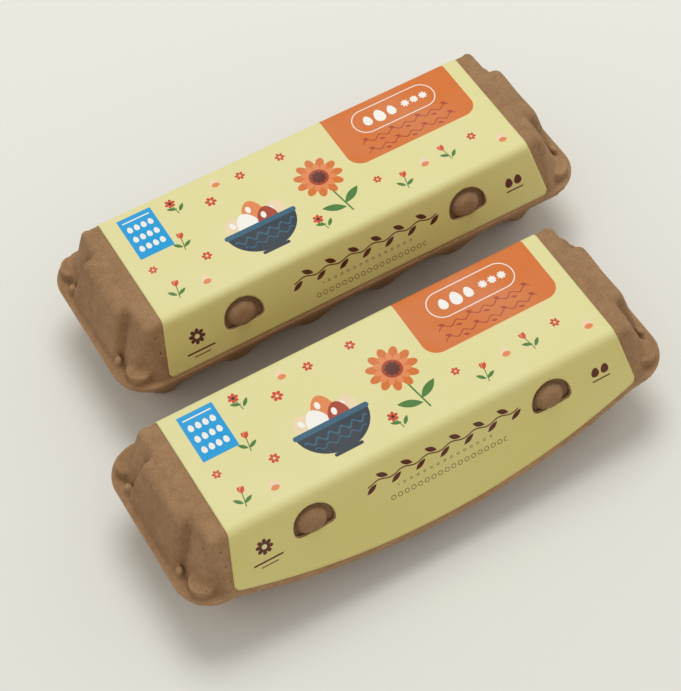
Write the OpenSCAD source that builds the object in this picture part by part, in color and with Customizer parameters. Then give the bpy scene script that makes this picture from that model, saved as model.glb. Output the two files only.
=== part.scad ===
// A pair of closed egg cartons in moulded pulp, two rows of six cells each.
// The back carton has a straight front rim. The front carton's rim dips in
// an arc, so its lid and label reach lower in the middle.
// Millimetres, +Z up. Each carton is drawn about the middle of its own foot
// print, with its front towards -Y, and the pair is centred on the origin.

/* [Pair] */
// Distance from one carton's middle to the other's, front to back
pair_pitch = 135; // [130:1:160]
// How far the back carton lies to the right of the front one
pair_slip = 32.3; // [0:0.1:40]
// How far the front carton's rim dips in its middle
front_dip = 18.5; // [6:0.5:20]

/* [Rim] */
// Length of the flange
rim_len = 300; // [296:1:310]
// Width of the flange
rim_wid = 111; // [109:1:116]
// Plan radius of the flange corners
rim_corner = 22; // [18:1:26]
// Height of the plane where the lid meets the tray
rim_height = 41; // [39:0.5:44]
// Gap between the lid's flange and the tray's flange
rim_gap = 0.3; // [0.3:0.05:0.6]
// How far the tray's flange stays inside the lid's
rim_inset = 1; // [0.5:0.1:1.5]
// Half the length of the stretch of rim that can dip
dip_half = 123; // [115:1:124]

/* [Pulp] */
// Thickness of the moulded pulp
pulp = 2; // [1.8:0.1:2.2]
// Thickness of each flange
flange_t = 2.2; // [1.8:0.1:2.6]

/* [Tray] */
// Cells in each row
cells_long = 6; // [6]
// Distance between neighbouring cells
cell_pitch = 48.75; // [48:0.05:49]
// Radius of the flat under each cup
foot_r = 10.5; // [8:0.5:12]
// Radius of each cup where its rounded foot ends
cup_r = 14.5; // [13:0.5:16]
// Height at which the rounded foot ends
cup_bend = 3.5; // [2.5:0.5:5]
// Height of the saddles between neighbouring cups, below the lowest point of a dipped rim
saddle_h = 20; // [17:0.5:21]
// Corner radius of each cup's mouth
mouth_corner = 13; // [10:0.5:16]
// How far the tray's wall stands inside the flange's edge at the ends
wall_in_x = 4; // [3.5:0.5:6]
// How far the tray's wall stands inside the flange's edge at the sides
wall_in_y = 3; // [3:0.25:4]
// Slope of the tray's wall, outward for each unit of height
wall_draft = 0.3; // [0.2:0.02:0.34]
// Height of the posts between the cups
post_h = 62; // [56:1:68]
// Radius of a post at its top
post_top_r = 5.5; // [4.5:0.5:7]
// Radius of a post at its foot
post_foot_r = 15; // [12:0.5:16]

/* [Lid] */
// Height of the lid's flat top
top_h = 77; // [75:0.5:82]
// Half the width of the flat top, out to where the sides would meet it
top_half = 39.5; // [38:0.25:40]
// Width of the ledge that the flange leaves outside the lid's side
ledge = 1.6; // [1.2:0.1:2]
// Radius of the long folds along the top
fold_r = 5; // [4:0.25:6]
// Half the length of the band that carries the label
bed_half = 124; // [122:0.5:126]
// How far the ends stand proud of that band
bed_depth = 0.6; // [0.4:0.1:0.8]
// Radius of each end's rounded corner at its foot
bulge_foot_r = 19; // [17:0.5:20]
// Radius of each end's rounded corner near the top
bulge_top_r = 12; // [10:0.5:13]
// How far each rounded corner stays inside the flange's end at its foot
bulge_foot_in = 8; // [7:0.5:9]
// How far each rounded corner stays inside the flange's end at the top
bulge_top_in = 19; // [18:0.5:21]
// How far each end's nose stays inside the flange's end at its foot
nose_foot_in = 4; // [3.5:0.25:5]
// How far each end's nose stays inside the flange's end at the top
nose_top_in = 14; // [13:0.5:16]
// Half the width of the nose at its foot
nose_foot_half = 28; // [25:0.5:30]
// Half the width of the nose at the top
nose_top_half = 21; // [19:0.5:23]
// Radius of the nose's edges
nose_r = 3.5; // [3:0.25:4]
// Radius of the toe at each corner of the flange
toe_r = 7.5; // [7:0.25:8]
// Height of the toe above the lid's flange
toe_h = 6.3; // [5:0.1:8]
// Distance of the toe's middle from the flange's end and from its side
toe_in = 13.5; // [13:0.25:15]
// Diameter of the small stud at the foot of each valley
stud_d = 4.5; // [3.5:0.25:5]
// Height of the stud above the lid's flange
stud_h = 6; // [4:0.25:7]

/* [Lock] */
// Distance of each lock hole from the middle
hole_x = 72.8; // [68:0.2:78]
// How far below the lid's top the middle of each lock hole lies
hole_down = 18.4; // [17:0.1:19.5]
// Radius of the round top of a lock hole
hole_r = 11.8; // [11:0.1:12]
// How far below its middle a lock hole's flat edge lies
hole_drop = 4; // [3:0.25:5]
// Clearance between a button and the edge of its hole
button_gap = 2.2; // [1.6:0.1:2.6]
// How far a button stands proud of the lid
button_proud = 2.8; // [2:0.1:3]
// How far the buttons sit to the left of the middle of their holes
button_slip = 1; // [0:0.1:1.2]
// Half the length of the lock flap
flap_half = 94; // [90:1:100]
// How far below the lid's top the lock flap's top edge lies
flap_down = 6; // [5:0.25:6.5]
// Clearance between the lock flap and the inside of the lid
flap_gap = 0.7; // [0.5:0.05:0.9]

/* [Label] */
// How far the label's side edges stay inside the ends of its band along the top
label_in = 6; // [4:0.5:9]
// How far the label's side edges stay inside the ends of its band at the foot
label_foot_in = 0.25; // [0.25:0.25:3]
// Thickness of the label's paper
paper = 0.3; // [0.2:0.05:0.4]
// Thickness of the glue under the label
glue = 0.05; // [0.05:0.01:0.1]
// Height of the label's bottom edge above the lid's flange
label_lift = 0.6; // [0.4:0.1:2]
// Radius of the label's bottom corners
label_corner = 3; // [2:0.5:4]
// How far the label reaches down the back
label_back = 9; // [7:0.5:12]
// Distance between the label and the edge of a lock hole
label_gap = 0.4; // [0.2:0.1:0.8]

/* [Hidden] */

pulp_colour = [0.62, 0.48, 0.36];
paper_colour = [0.89, 0.86, 0.62];

// Small overlap that lets joined forms share volume
eps = 0.02;
// Depth to which lofts run on below the rim, before they are cut
run_out = 30;
// Half of a box that holds a whole carton
far = 200;
// How much shorter the dipped flange's outer face is at its foot, at each end
wedge_in = 30;
// Length of the block that joins each end to the label's band
shoulder_t = 4.5;
// How far inside that block each corner column begins
column_in = 1;
// How far each nose runs on inside the label's band
nose_root = 20;

// Sides of the full circles that the folds, arcs and round forms are parts of
fold_fn = 16;
dip_steps = 8;
cup_fn = 8;
column_fn = 12;
corner_fn = 16;

half_len = rim_len / 2;
half_wid = rim_wid / 2;
lid_foot = rim_height + rim_gap;
flange_top = lid_foot + flange_t;
hole_z = top_h - hole_down;
flap_top = top_h - flap_down;
label_half = bed_half - label_in;
label_foot_half = bed_half - label_foot_in;

// Lean of the lid's long sides, from the top's width and the flange's
lean_k = (half_wid - ledge - top_half) / (top_h - flange_top);
lean = atan(lean_k);
lean_len = sqrt(1 + lean_k * lean_k);
fold_y = top_half + lean_k * fold_r - fold_r * lean_len;

// Radius of the arc that the dipped rim follows, and half its angle
dip_r = (dip_half * dip_half + front_dip * front_dip) / (2 * front_dip);
dip_angle = asin(dip_half / dip_r);

// The dipped flange reaches this much further out, so the pair is moved by half of it
dip_reach = lean_k * (front_dip + flange_t);
back_y = pair_pitch / 2 + dip_reach / 2;
front_y = back_y - pair_pitch;

function side_y(z) = top_half + lean_k * (top_h - z);

// The area between an arc of the dipped rim and a chord a little above its ends
module dip_area(low) {
  translate([0, low + dip_r])
    polygon([for (i = [-dip_steps : dip_steps])
      let (a = dip_angle * i / (dip_steps - 0.5)) [dip_r * sin(a), -dip_r * cos(a)]]);
}

// A rectangle with round corners, as half sizes
module round_rect(hx, hy, r, fn = corner_fn) {
  offset(r = r, $fn = fn)
    square([2 * (hx - r), 2 * (hy - r)], center = true);
}

// A thin slice of a rounded rectangle at height z
module slice(z, hx, hy, r, fn = corner_fn) {
  translate([0, 0, z])
    linear_extrude(eps)
      round_rect(hx, hy, r, fn);
}

// Its children at all four corners of a carton, or at both ends
module mirrored(x = true, y = true) {
  for (mx = x ? [0, 1] : [0])
    for (my = y ? [0, 1] : [0])
      mirror([mx, 0, 0])
        mirror([0, my, 0])
          children();
}

// All that lies above height z
module above(z) {
  translate([-far, -far, z])
    cube([2 * far, 2 * far, far]);
}

// All that lies above the parting surface, raised by lift
module above_parting(lift, dip) {
  above(rim_height + lift);
  if (dip > 0)
    rotate([90, 0, 0])
      linear_extrude(far)
        dip_area(rim_height + lift - dip);
}

// The space in plan of a flange that is drawn in by inset, with its top at height z
module flange_space(z, inset, dip) {
  linear_extrude(far)
    round_rect(half_len - inset, half_wid - inset, rim_corner - inset, 20);
  if (dip > 0) {
    drop = dip + flange_t + 1;
    front = half_wid - inset;
    hull() {
      translate([-dip_half, -front, z])
        cube([2 * dip_half, 10, eps]);
      translate([wedge_in - dip_half, -front - lean_k * drop, z - drop])
        cube([2 * (dip_half - wedge_in), 10, eps]);
    }
  }
}

// Tray

// The loft inside the tray's wall, drawn in by skin
module tray_space(skin) {
  hx = half_len - wall_in_x - skin;
  hy = half_wid - wall_in_y - skin;
  in = wall_draft * (rim_height + 1);
  r = rim_corner - wall_in_x - skin;
  hull() {
    slice(rim_height + 1, hx, hy, r);
    slice(-1, hx - in, hy - in, r);
  }
}

// One cup as a solid, drawn in by skin: a round foot that opens into a square mouth.
// The mouths of neighbouring cups overlap by half the pulp's thickness.
module cup(skin) {
  half = (cell_pitch + pulp / 2) / 2 - skin * 0.75;
  hull() {
    translate([0, 0, skin])
      cylinder(h = cup_bend, r1 = foot_r - skin * 0.6, r2 = cup_r - skin, $fn = cup_fn);
    slice(saddle_h, half, half, mouth_corner - skin / 2, cup_fn);
  }
}

// Its children at the middle of every cell
module every_cell() {
  for (i = [0 : cells_long - 1])
    for (side = [-1, 1])
      translate([(i - (cells_long - 1) / 2) * cell_pitch, side * cell_pitch / 2, 0])
        children();
}

// The hollow post between four cups, drawn in by skin
module posts(skin) {
  for (i = [1 : cells_long - 1])
    translate([(i - cells_long / 2) * cell_pitch, 0, -eps])
      rotate(180 / cup_fn)
        cylinder(h = post_h + eps - skin, r1 = post_foot_r - skin, r2 = post_top_r - skin, $fn = cup_fn);
}

// All that the cups and the trough above them enclose
module tray_form(skin) {
  intersection() {
    tray_space(skin);
    union() {
      every_cell()
        cup(skin);
      above(saddle_h - pulp + skin);
    }
  }
}

module tray(dip) {
  difference() {
    union() {
      difference() {
        union() {
          tray_form(0);
          intersection() {
            above_parting(-flange_t, dip);
            flange_space(rim_height, rim_inset, dip);
          }
        }
        above_parting(0, dip);
        tray_form(pulp);
      }
      intersection() {
        posts(0);
        union() {
          tray_form(pulp / 2);
          above(saddle_h);
        }
      }
    }
    posts(pulp);
  }
}

// Lid

// Section across the lid between its ends, drawn in by skin
module lid_section(skin) {
  hull()
    mirrored(true, false) {
      translate([fold_y, top_h - fold_r])
        circle(r = fold_r - skin, $fn = fold_fn);
      translate([fold_y + lean_k * (top_h - fold_r - rim_height + run_out), rim_height - run_out])
        circle(r = fold_r - skin, $fn = fold_fn);
    }
}

// The straight run of the lid, out to half length hx
module lid_run(hx, skin) {
  translate([-hx, 0, 0])
    rotate([90, 0, 90])
      linear_extrude(2 * hx)
        lid_section(skin);
}

// A rounded corner column of the lid, which begins beyond the label's band
module bulge(skin) {
  foot_x = half_len - bulge_foot_in - bulge_foot_r;
  top_x = half_len - bulge_top_in - bulge_top_r;
  foot_y = side_y(flange_top) + bed_depth - bulge_foot_r * lean_len;
  top_y = side_y(top_h - fold_r) + bed_depth - bulge_top_r * lean_len;
  k = (foot_x - top_x) / (top_h - fold_r - flange_top);
  r_k = (bulge_foot_r - bulge_top_r) / (top_h - fold_r - flange_top);
  y_k = (foot_y - top_y) / (top_h - fold_r - flange_top);
  intersection() {
    translate([bed_half + column_in, 0, 0])
      cube(far);
    hull() {
      translate([top_x, top_y, top_h + bed_depth - fold_r])
        scale([1, 1, (fold_r - skin) / (bulge_top_r - skin)])
          sphere(r = bulge_top_r - skin, $fn = column_fn);
      translate([foot_x + k * flange_t, foot_y + y_k * flange_t, lid_foot - 1])
        cylinder(h = eps, r = bulge_foot_r + r_k * flange_t - skin, $fn = column_fn);
    }
  }
}

// The flat-faced nose between two corner columns
module nose(skin) {
  r = nose_r - skin * 0.5;
  foot = half_len - nose_foot_in - r - skin * 0.5;
  top = half_len - nose_top_in - r - skin * 0.5;
  hull()
    mirrored(false, true) {
      translate([top, nose_top_half - skin - r, top_h - skin - r])
        sphere(r = r, $fn = 8);
      translate([foot, nose_foot_half - skin - r, lid_foot - 1])
        cylinder(h = eps, r = r, $fn = 8);
      translate([bed_half - nose_root, nose_top_half - skin - r, top_h - skin - r])
        sphere(r = r, $fn = 8);
      translate([bed_half - nose_root, nose_foot_half - skin - r, lid_foot - 1])
        cylinder(h = eps, r = r, $fn = 8);
    }
}

// The block that joins the straight run to the end's columns
module shoulder(skin) {
  hull()
    mirrored(false, true) {
      translate([bed_half, fold_y, top_h + bed_depth - fold_r])
        rotate([0, 90, 0])
          cylinder(h = shoulder_t - skin, r = fold_r - skin, $fn = fold_fn);
      translate([bed_half, side_y(lid_foot - 1) + bed_depth - fold_r * lean_len, lid_foot - 1])
        rotate([0, 90, 0])
          cylinder(h = shoulder_t - skin, r = fold_r - skin, $fn = fold_fn);
    }
}

// The round toe on a corner of the flange, drawn in by skin
module toe(skin) {
  translate([half_len - toe_in, half_wid - toe_in, lid_foot - 1])
    cylinder(h = flange_t + toe_h + 1 - skin, r1 = toe_r + 0.6 - skin, r2 = toe_r - skin, $fn = column_fn);
}

// The small stud where a valley meets the flange
module stud() {
  x = half_len - nose_foot_in - stud_d / 2;
  y = nose_foot_half + stud_d / 4;
  hull() {
    translate([x, y, flange_top - 1])
      cylinder(h = eps, r = stud_d / 2, $fn = 8);
    translate([x - 2.5, y, flange_top + stud_h])
      cylinder(h = eps, r = stud_d / 2 - 0.6, $fn = 8);
  }
}

module lid_form(skin) {
  lid_run(bed_half + eps, skin);
  mirrored(true, false) {
    shoulder(skin);
    nose(skin);
  }
  mirrored() {
    bulge(skin);
    toe(skin);
  }
}

// Outline of a lock hole: round above, flat below, drawn in by inset
module hole_outline(inset) {
  r = hole_r - inset;
  round_off = 3;
  offset(r = round_off, $fn = 12)
    offset(delta = -round_off)
      intersection() {
        circle(r = r, $fn = 24);
        translate([-hole_r, inset - hole_drop])
          square([2 * hole_r, 2 * hole_r]);
      }
}

// Places its children on the lid's front side, with local +Z outward
module on_front(x, z) {
  translate([x, -side_y(z), z])
    rotate([90 - lean, 0, 0])
      children();
}

module lock_holes(inset, depth) {
  for (side = [-1, 1])
    on_front(side * hole_x, hole_z)
      translate([0, 0, -depth])
        linear_extrude(2 * depth)
          hole_outline(inset);
}

module lid(dip) {
  difference() {
    intersection() {
      union() {
        lid_form(0);
        difference() {
          flange_space(flange_top, 0, dip);
          above_parting(rim_gap + flange_t, dip);
        }
        mirrored()
          stud();
      }
      above_parting(rim_gap, dip);
    }
    lid_form(pulp);
    lock_holes(0, 8);
  }
}

// Lock flap

// A domed button that stands in its hole
module button() {
  back = pulp + flap_gap;
  hull() {
    translate([0, 0, -back - eps])
      linear_extrude(back)
        hole_outline(button_gap);
    translate([0, 0, button_proud - 1])
      linear_extrude(eps)
        hole_outline(button_gap + 2.2);
    translate([0, 0.5, button_proud - eps])
      cylinder(h = eps, r = hole_r - button_gap - 5, $fn = 12);
  }
}

module lock_flap(dip) {
  depth = pulp + flap_gap;
  reach = (flap_top - rim_height + front_dip) * lean_len;
  intersection() {
    union() {
      on_front(0, flap_top)
        translate([0, -reach, -depth - pulp])
          linear_extrude(pulp)
            offset(r = 8, $fn = 24)
              offset(delta = -8)
                translate([-flap_half, -20])
                  square([2 * flap_half, reach + 20]);
      for (side = [-1, 1])
        on_front(side * hole_x - button_slip, hole_z)
          button();
    }
    above_parting(0, dip);
  }
}

// Label

// Front view of the label, which widens towards its foot
module label_outline(dip) {
  foot = flange_top + label_lift;
  low = foot - dip;
  grow = (label_foot_half - label_half) / (top_h - foot);
  offset(r = label_corner, $fn = 24)
    offset(delta = -label_corner)
      intersection() {
        polygon([[-label_half, top_h], [-label_half, top_h + far], [label_half, top_h + far],
                 [label_half, top_h], [label_foot_half, foot], [label_foot_half + grow * dip, low],
                 [-label_foot_half - grow * dip, low], [-label_foot_half, foot]]);
        union() {
          translate([-far, foot])
            square([2 * far, 2 * far]);
          if (dip > 0)
            dip_area(low);
        }
      }
}

module label(dip) {
  difference() {
    intersection() {
      lid_run(half_len, -glue - paper);
      rotate([90, 0, 0])
        linear_extrude(2 * far, center = true)
          label_outline(dip);
      union() {
        above(top_h - label_back);
        translate([-far, -far, 0])
          cube([2 * far, far, far]);
      }
    }
    lid_run(far, -glue);
    lock_holes(-label_gap, 8);
  }
}

module at_back() {
  translate([pair_slip / 2, back_y, 0])
    children();
}

module at_front() {
  translate([-pair_slip / 2, front_y, 0])
    children();
}

module back_tray() {
  color(pulp_colour)
    at_back()
      tray(0);
}

module back_lock_flap() {
  color(pulp_colour)
    at_back()
      lock_flap(0);
}

module back_lid() {
  color(pulp_colour)
    at_back()
      lid(0);
}

module back_label() {
  color(paper_colour)
    at_back()
      label(0);
}

module front_tray() {
  color(pulp_colour)
    at_front()
      tray(front_dip);
}

module front_lock_flap() {
  color(pulp_colour)
    at_front()
      lock_flap(front_dip);
}

module front_lid() {
  color(pulp_colour)
    at_front()
      lid(front_dip);
}

module front_label() {
  color(paper_colour)
    at_front()
      label(front_dip);
}

back_tray();
back_lock_flap();
back_lid();
back_label();
front_tray();
front_lock_flap();
front_lid();
front_label();
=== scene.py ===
"""Dresses a pair of egg cartons in moulded pulp, with printed paper labels.

The pulp forms are drawn as distance fields about the middle of one carton, at
floor height, and are meshed here. Lengths are millimetres until a mesh is made.
The print is the scene's own generic design.
"""

import math

import bpy
import numpy as np
from mathutils import Matrix, Vector


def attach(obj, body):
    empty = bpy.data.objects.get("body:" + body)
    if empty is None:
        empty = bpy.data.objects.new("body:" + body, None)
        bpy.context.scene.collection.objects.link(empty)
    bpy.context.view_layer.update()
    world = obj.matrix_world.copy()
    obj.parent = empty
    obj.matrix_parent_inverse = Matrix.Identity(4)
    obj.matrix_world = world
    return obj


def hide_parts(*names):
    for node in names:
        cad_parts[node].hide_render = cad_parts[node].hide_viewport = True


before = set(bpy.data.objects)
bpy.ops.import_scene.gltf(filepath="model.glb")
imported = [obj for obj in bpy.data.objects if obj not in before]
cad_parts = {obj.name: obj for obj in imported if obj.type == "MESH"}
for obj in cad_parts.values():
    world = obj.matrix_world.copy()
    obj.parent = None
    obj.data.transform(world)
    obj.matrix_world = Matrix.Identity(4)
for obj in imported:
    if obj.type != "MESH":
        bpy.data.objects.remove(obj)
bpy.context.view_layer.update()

MM = 0.001

# Rim and parting surface
HALF_LEN = 150.0
HALF_WID = 55.5
RIM_CORNER = 22.0
RIM_Z = 41.0
RIM_GAP = 0.3
FLANGE_T = 2.2
RIM_INSET = 1.0
DIP_HALF = 123.0
FRONT_DIP = 18.5
PULP = 2.0

# Where the cartons stand: half of the way between them, and the pair's middle
PAIR_X = 16.15
PAIR_Y = 67.5
PAIR_MIDDLE_Y = 4.449

# Lid
TOP_Z = 77.0
TOP_HALF = 39.5
LEDGE = 1.6
FOLD_R = 5.0
BED_HALF = 124.0
BED_DEPTH = 0.6
FLANGE_TOP = RIM_Z + RIM_GAP + FLANGE_T
LEAN_K = (HALF_WID - LEDGE - TOP_HALF) / (TOP_Z - FLANGE_TOP)
LEAN_LEN = math.hypot(1.0, LEAN_K)
FOLD_Y = TOP_HALF + LEAN_K * FOLD_R - FOLD_R * LEAN_LEN
FOLD_ANGLE = math.pi / 2 - math.atan(LEAN_K)

# Lid's ends: nose, corner columns, toes and studs, with what they grow by towards the flange
NOSE_X = 136.0
NOSE_X_GROW = 10.0
NOSE_Y = 21.0
NOSE_Y_GROW = 7.0
COLUMN_X = 119.0
COLUMN_X_GROW = 4.0
COLUMN_Y = 29.2
COLUMN_Y_GROW = 4.6
COLUMN_R = 12.0
COLUMN_R_GROW = 7.0
COLUMN_SPAN = (72.0, 28.5)
TOE_X = 136.5
TOE_Y = 42.0
TOE_R = 7.6
TOE_TOP = 49.8
STUD_X = 144.6
STUD_Y = 29.6
STUD_R = 2.6
STUD_SPAN = (42.0, 7.6)
STUD_TOP = 49.4
END_BEGIN = 129.5
END_THICK = 0.5
END_WAVE = 0.3
FLANGE_WAVE = 0.12
FLANGE_INSET = 0.25

# Tray: cups, the posts between them, and the wall round them all
CELL = 48.75
CELLS = 6
SADDLE_Z = 20.0
SADDLE_X = 130.0
SADDLE_Y = 37.0
CUP_FOOT_R = 10.2
CUP_GROW = 14.7
CUP_CORNER_GROW = 2.8
CUP_POWER = 1.4
POST_R = 13.0
POST_TAPER = 9.3
POST_TOP = 60.0
POST_AREA = (118.0, 20.0)
WALL_X = 128.0
WALL_Y = 34.5
WALL_CORNER = 18.0
WALL_BEND_Z = 36.0
WALL_DRAFT = 0.3
WALL_POWER = 1.4
WALL_RUN_X = 12.2
WALL_RUN_Y = 16.1
WALL_LEAN_X = 0.47
WALL_LEAN_Y = 0.63
TRAY_EXTRA = 0.3

# Lock
HOLE_X = 72.8
HOLE_Z = 58.6
HOLE_R = 11.8
HOLE_DROP = 4.0
FLAP_HALF = 94.0
FLAP_TOP = 71.0
FLAP_DEPTH = PULP + 0.7
FLAP_CORNER = 8.0
BUTTON_RX = 9.3
BUTTON_RY = 8.1
BUTTON_H = 2.75

# Label
LABEL_HALF = 118.0
LABEL_FOOT_HALF = 123.75
LABEL_FOOT_Z = FLANGE_TOP + 0.6
LABEL_BACK = 9.0
LABEL_CORNER = 3.0
PAPER = 0.3
GLUE = 0.05

# Everything pulp is drawn in by this much, so that it stays inside the CAD box
SHRINK = 0.08

# Cell sizes of the meshes, and the free space round them
TRAY_STEP = 1.5
FLAP_STEP = 1.05
LID_STEP = 1.3
MARGIN = 3.0


# Fields: below zero inside the form

def smooth_min(a, b, k):
    h = np.clip(0.5 + 0.5 * (b - a) / k, 0.0, 1.0)
    return b + (a - b) * h - k * h * (1.0 - h)


def smooth_max(a, b, k):
    return -smooth_min(-a, -b, k)


def round_max(a, b, r):
    """Where two faces meet, with a rounded edge of radius r."""
    outer = np.hypot(np.maximum(a + r, 0.0), np.maximum(b + r, 0.0))
    return np.minimum(np.maximum(a, b), -r) + outer


def round_plan(a, b, corner):
    """Outline with round corners, from how far a place lies past the corners' middles."""
    outer = np.hypot(np.maximum(a, 0.0), np.maximum(b, 0.0))
    return outer + np.minimum(np.maximum(a, b), 0.0) - corner


def smooth_step(low, high, value):
    t = np.clip((value - low) / (high - low), 0.0, 1.0)
    return t * t * (3.0 - 2.0 * t)


def arc_drop(x, dip):
    """How far the dipped rim lies below the straight one at x."""
    if dip == 0:
        return np.zeros_like(x)
    radius = (DIP_HALF ** 2 + dip ** 2) / (2.0 * dip)
    inside = np.sqrt(np.maximum(radius ** 2 - x ** 2, 0.0)) - (radius - dip)
    return np.maximum(inside, 0.0)


def front_drop(x, y, dip):
    return np.where(y < 0, arc_drop(x, dip), 0.0)


def side_y(z):
    return TOP_HALF + LEAN_K * (TOP_Z - z)


def wave(x, y, z, size):
    """Gentle unevenness of dried pulp."""
    a = np.sin(x * 0.071 + 1.3 * np.sin(y * 0.083)) * np.sin(y * 0.117 + z * 0.09)
    b = np.sin(x * 0.163 + z * 0.14 + 0.7) * np.sin(y * 0.191 - x * 0.05 + 2.1)
    return size * (0.6 * a + 0.4 * b)


def lid_section(y, z, proud):
    """The long sides and the top, whose fold is a true arc."""
    across = np.abs(y)
    top = z - TOP_Z - proud
    side = (across - side_y(z)) / LEAN_LEN - proud
    in_y = across - FOLD_Y
    in_z = z - (TOP_Z - FOLD_R)
    n_y = 1.0 / LEAN_LEN
    n_z = LEAN_K / LEAN_LEN
    wedge = (in_y > 0) & (n_y * in_z - n_z * in_y > 0)
    return np.where(wedge, np.hypot(in_y, in_z) - FOLD_R - proud, np.maximum(top, side))


def nose_form(x, y, z):
    """The flat-faced nose in the middle of each end."""
    slant_x = 1.044
    slant_y = 1.022
    edge = 4.0
    run = (TOP_Z - z) / (TOP_Z - FLANGE_TOP)
    end = (np.abs(x) - NOSE_X - NOSE_X_GROW * run) / slant_x
    side = (np.abs(y) - NOSE_Y - NOSE_Y_GROW * run) / slant_y
    top = z - TOP_Z
    return round_max(round_max(end, top, edge), side, edge)


def column_form(x, y, z):
    """The rounded column at each corner, whose head stands a little above the top."""
    slant = 0.92
    head = 0.45
    low = (COLUMN_SPAN[0] - z) / COLUMN_SPAN[1]
    middle_x = COLUMN_X + COLUMN_X_GROW * low
    middle_y = COLUMN_Y + COLUMN_Y_GROW * low
    radius = COLUMN_R + COLUMN_R_GROW * low
    side = (np.hypot(np.abs(x) - middle_x, np.abs(y) - middle_y) - radius) * slant
    return round_max(side, z - TOP_Z - head, 7.5)


def toe_form(x, y, z):
    """The low round toe in front of each column."""
    side = np.hypot(np.abs(x) - TOE_X, np.abs(y) - TOE_Y) - TOE_R
    return round_max(side, z - TOE_TOP, 1.3)


def stud_form(x, y, z):
    """A small wedge that leans out at the foot of each valley."""
    t = np.clip((z - STUD_SPAN[0]) / STUD_SPAN[1], 0.0, 1.0)
    across = np.hypot(np.abs(x) - (STUD_X - 1.6 * t), (np.abs(y) - STUD_Y + 0.6 * t) * 0.8)
    return round_max(across - (STUD_R - 0.9 * t), z - STUD_TOP, 1.2)


def lid_form(x, y, z):
    """The outside of the lid, open below; the label's band keeps its plain section."""
    out = np.abs(x)
    proud = BED_DEPTH * smooth_step(BED_HALF, BED_HALF + 1.6, out)
    run = round_max(lid_section(y, z, proud), out - END_BEGIN, 4.0)
    columns = smooth_min(run, column_form(x, y, z), 3.0)
    form = smooth_min(columns, nose_form(x, y, z), 3.0)
    form = smooth_min(form, toe_form(x, y, z), 1.6)
    form = smooth_min(form, stud_form(x, y, z), 1.0)
    form = form + wave(x, y, z, END_WAVE) * smooth_step(BED_HALF, BED_HALF + 6.0, out)
    form = smooth_max(form, z - TOP_Z - 0.4, 0.6)
    ends = smooth_step(BED_HALF, BED_HALF + 3.0, out)
    return run + (form - run) * ends + SHRINK


def rim_plan(x, y, inset, dip):
    """The flange's outline in plan; its front reaches further out where it dips."""
    reach = HALF_WID - inset + LEAN_K * front_drop(x, y, dip)
    corner = RIM_CORNER - inset
    a = np.abs(x) - (HALF_LEN - inset - corner)
    b = np.abs(y) - (reach - corner)
    return round_plan(a, b, corner) + SHRINK


def front_plane(side, x, y, z):
    """Coordinates on the lid's front side, from the middle of a lock hole."""
    u = x - side * HOLE_X
    v = ((y + side_y(HOLE_Z)) * LEAN_K + z - HOLE_Z) / LEAN_LEN
    w = (-y - side_y(z)) / LEAN_LEN
    return u, v, w


def hole_plan(u, v, inset):
    """A lock hole's outline: round above, flat below."""
    return round_max(np.hypot(u, v) - HOLE_R + inset, -HOLE_DROP + inset - v, 2.5)


def torn(u, v, size):
    """Raggedness of a torn pulp edge."""
    turn = np.arctan2(v, u)
    return size * (np.sin(7 * turn + 1.0) + 0.7 * np.sin(13 * turn + 2.0) + 0.5 * np.sin(23 * turn))


def lid_field(x, y, z, dip):
    form = lid_form(x, y, z)
    thick = PULP + END_THICK * smooth_step(BED_HALF, BED_HALF + 6.0, np.abs(x))
    foot = RIM_Z + RIM_GAP - front_drop(x, y, dip)
    plan = rim_plan(x, y, 0.0, dip) + FLANGE_INSET + wave(x, y, z, FLANGE_WAVE)
    flange = round_max(plan, z - foot - FLANGE_T + wave(x, y, z, FLANGE_WAVE), 0.7)
    outer = smooth_min(form, flange, 1.4)
    solid = smooth_max(outer, -(form + thick), 0.5)
    solid = smooth_max(solid, foot - z, 0.5)
    for side in (-1, 1):
        u, v, w = front_plane(side, x, y, z)
        cut = np.maximum(hole_plan(u, v, 0.0) + torn(u, v, 0.12), np.abs(w) - 9.0)
        solid = smooth_max(solid, -cut, 0.4)
    return solid


def cup_form(x, y, z):
    """The nearest cup as a solid: a round foot that opens into a square mouth."""
    cell = np.clip(np.floor(x / CELL), -CELLS / 2, CELLS / 2 - 1) + 0.5
    in_x = np.abs(x - cell * CELL)
    in_y = np.abs(np.abs(y) - CELL / 2)
    rise = np.clip(z / SADDLE_Z, 0.0, 1.0) ** CUP_POWER
    above = np.clip((z - SADDLE_Z) / (RIM_Z - SADDLE_Z), 0.0, 1.2)
    half = CUP_FOOT_R + CUP_GROW * rise + 3.0 * above
    corner = CUP_FOOT_R + CUP_CORNER_GROW * rise - 6.0 * above
    plan = round_plan(in_x - (half - corner), in_y - (half - corner), corner)
    flare = smooth_step(2.0, 12.0, z) * (1.0 - smooth_step(19.0, 26.0, z))
    return round_max(plan / (1.1 + 0.55 * flare), -z, 3.4)


def post_hollow(x, y, z):
    """The hollow inside the post between four cups."""
    place = np.clip(np.round(x / CELL), -2, 2) * CELL
    radius = POST_R - POST_TAPER * z / POST_TOP
    side = np.hypot(x - place, y) - radius
    return round_max(side, z - POST_TOP, 3.0)


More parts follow.
